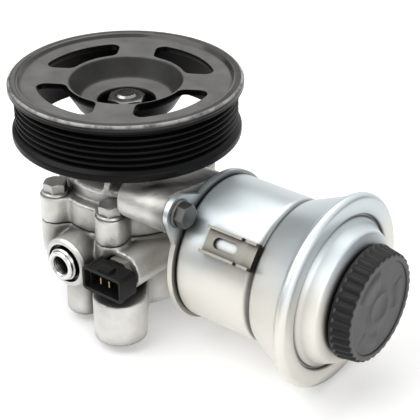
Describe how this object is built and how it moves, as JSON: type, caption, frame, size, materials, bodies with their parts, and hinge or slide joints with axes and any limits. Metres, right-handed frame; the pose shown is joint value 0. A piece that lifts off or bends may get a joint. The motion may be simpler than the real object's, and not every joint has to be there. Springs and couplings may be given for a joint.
{
  "type": "power steering pump",
  "caption": "Belt-driven vane pump for power steering, with a grooved pulley, cast aluminium housings, a side-mounted metal oil tank with a flared mouth and a ribbed screw cap.",
  "frame": {"origin": "on the shaft axis, in the plane of the rear pad on which the pump stands", "axes": "+Z along the shaft towards the pulley, +X along the tank towards its cap, -Y the way the pressure port points"},
  "size_m": [0.2346, 0.13, 0.1375],
  "materials": {
    "cast_aluminium": "as cast, lightly blasted",
    "black_paint": "satin black dip",
    "plated_steel": "zinc plate",
    "bright_steel": "ground",
    "tool_steel": "hardened and ground",
    "spring_steel": "oiled",
    "tank_steel": "satin plate",
    "bronze": "machined",
    "seal_rubber": "matt",
    "black_plastic": "moulded",
    "cap_plastic": "moulded, fine grain"
  },
  "bodies": {
    "housing": {"front_housing": "cast_aluminium", "rear_housing": "cast_aluminium", "housing_bolts": "plated_steel", "housing_seal": "seal_rubber", "shaft_bush": "bronze", "shaft_seal": "seal_rubber", "bearing_outer": "bright_steel", "bearing_circlip": "spring_steel", "cam_ring": "tool_steel", "front_plate": "tool_steel", "rear_plate": "tool_steel", "dowel_pins": "bright_steel", "plate_spring": "spring_steel", "port_union": "bright_steel", "union_seal": "seal_rubber", "valve_spring": "spring_steel", "switch_body": "plated_steel", "switch_plug": "black_plastic", "switch_terminals": "bronze", "tank_flange": "tank_steel", "tank_bolts": "plated_steel", "tank_cup": "tank_steel", "tank_cover": "tank_steel", "tank_bracket": "plated_steel", "suction_spout": "tank_steel", "spout_seal": "seal_rubber", "strainer": "tank_steel", "return_nipple": "plated_steel"},
    "shaft": {"pulley": "black_paint", "pulley_hub": "black_paint", "lock_washer": "plated_steel", "pulley_nut": "plated_steel", "drive_shaft": "bright_steel", "shaft_key": "tool_steel", "bearing_inner": "bright_steel", "rotor": "tool_steel", "rotor_circlip": "spring_steel"},
    "ball_set": {"bearing_cage": "bronze", "bearing_balls": "bright_steel"},
    "vane_1": {"vane_1": "tool_steel"},
    "vane_2": {"vane_2": "tool_steel"},
    "vane_3": {"vane_3": "tool_steel"},
    "vane_4": {"vane_4": "tool_steel"},
    "vane_5": {"vane_5": "tool_steel"},
    "vane_6": {"vane_6": "tool_steel"},
    "vane_7": {"vane_7": "tool_steel"},
    "vane_8": {"vane_8": "tool_steel"},
    "vane_9": {"vane_9": "tool_steel"},
    "vane_10": {"vane_10": "tool_steel"},
    "spool": {"flow_spool": "bright_steel"},
    "cap_insert": {"cap_gasket": "seal_rubber", "dipstick": "black_plastic"},
    "cap": {"cap": "cap_plastic"}
  },
  "joints": [
    {"name": "shaft_spin", "type": "hinge", "parent": "housing", "child": "shaft", "pos_m": [0, 0, 0.09], "axis": [0, 0, 1], "continuous": true},
    {"name": "bearing_orbit", "type": "hinge", "parent": "housing", "child": "ball_set", "pos_m": [0, 0, 0.095], "axis": [0, 0, 1], "continuous": true},
    {"name": "vane_1_slide", "type": "slide", "parent": "shaft", "child": "vane_1", "axis": [0.9511, 0.309, 0], "range_m": [-0.001, 0]},
    {"name": "vane_2_slide", "type": "slide", "parent": "shaft", "child": "vane_2", "axis": [0.5878, 0.809, 0], "range_m": [-0.001, 0]},
    {"name": "vane_3_slide", "type": "slide", "parent": "shaft", "child": "vane_3", "axis": [0, 1, 0], "range_m": [-0.001, 0]},
    {"name": "vane_4_slide", "type": "slide", "parent": "shaft", "child": "vane_4", "axis": [-0.5878, 0.809, 0], "range_m": [-0.001, 0]},
    {"name": "vane_5_slide", "type": "slide", "parent": "shaft", "child": "vane_5", "axis": [-0.9511, 0.309, 0], "range_m": [-0.001, 0]},
    {"name": "vane_6_slide", "type": "slide", "parent": "shaft", "child": "vane_6", "axis": [-0.9511, -0.309, 0], "range_m": [-0.001, 0]},
    {"name": "vane_7_slide", "type": "slide", "parent": "shaft", "child": "vane_7", "axis": [-0.5878, -0.809, 0], "range_m": [-0.001, 0]},
    {"name": "vane_8_slide", "type": "slide", "parent": "shaft", "child": "vane_8", "axis": [0, -1, 0], "range_m": [-0.001, 0]},
    {"name": "vane_9_slide", "type": "slide", "parent": "shaft", "child": "vane_9", "axis": [0.5878, -0.809, 0], "range_m": [-0.001, 0]},
    {"name": "vane_10_slide", "type": "slide", "parent": "shaft", "child": "vane_10", "axis": [0.9511, -0.309, 0], "range_m": [-0.001, 0]},
    {"name": "spool_slide", "type": "slide", "parent": "housing", "child": "spool", "axis": [0, 1, 0], "range_m": [0, 0.006], "deforming": ["valve_spring"]},
    {"name": "cap_lift", "type": "slide", "parent": "housing", "child": "cap_insert", "axis": [1, 0, 0], "range_m": [0, 0.00625]},
    {"name": "cap_turn", "type": "hinge", "parent": "cap_insert", "child": "cap", "pos_m": [0.165, 0, 0.054], "axis": [1, 0, 0], "range_deg": [0, 450]}
  ],
  "couplings": [
    {"joint": "bearing_orbit", "follows": "shaft_spin", "ratio": 0.40846},
    {"joint": "vane_6_slide", "follows": "vane_1_slide", "ratio": 1},
    {"joint": "vane_7_slide", "follows": "vane_2_slide", "ratio": 1},
    {"joint": "vane_8_slide", "follows": "vane_3_slide", "ratio": 1},
    {"joint": "vane_9_slide", "follows": "vane_4_slide", "ratio": 1},
    {"joint": "vane_10_slide", "follows": "vane_5_slide", "ratio": 1},
    {"joint": "cap_lift", "follows": "cap_turn", "m_per_rad": 0.00079577}
  ]
}
